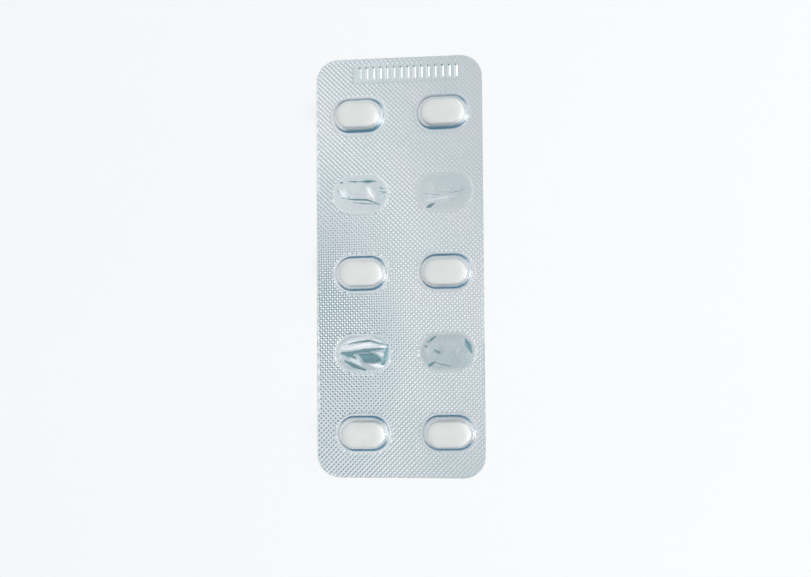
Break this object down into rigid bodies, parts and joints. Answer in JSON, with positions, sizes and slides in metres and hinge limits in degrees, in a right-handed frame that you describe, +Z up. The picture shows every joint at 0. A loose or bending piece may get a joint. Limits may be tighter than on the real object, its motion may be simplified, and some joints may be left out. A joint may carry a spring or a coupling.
{
  "type": "blister strip of tablets",
  "caption": "Push-through blister strip: clear film with oblong pockets heat-sealed to knurled foil, some pockets holding tablets and some pressed flat and torn open.",
  "frame": {"origin": "under the middle of the strip's punched outline, on the foil's underside", "axes": "+X across the strip, +Y along it towards the code margin, +Z up out of the pockets"},
  "size_m": [0.0392, 0.0984, 0.0043],
  "materials": {
    "clear_film": "clear, glossy, thermoformed",
    "foil": "knurled bright foil",
    "tablet": "satin film-coated white"
  },
  "bodies": {
    "root": {"clear_film": "clear_film", "lidding_foil": "foil", "tablet_top_left": "tablet", "tablet_top_right": "tablet", "tablet_middle_left": "tablet", "tablet_middle_right": "tablet", "tablet_bottom_left": "tablet", "tablet_bottom_right": "tablet"}
  },
  "joints": []
}
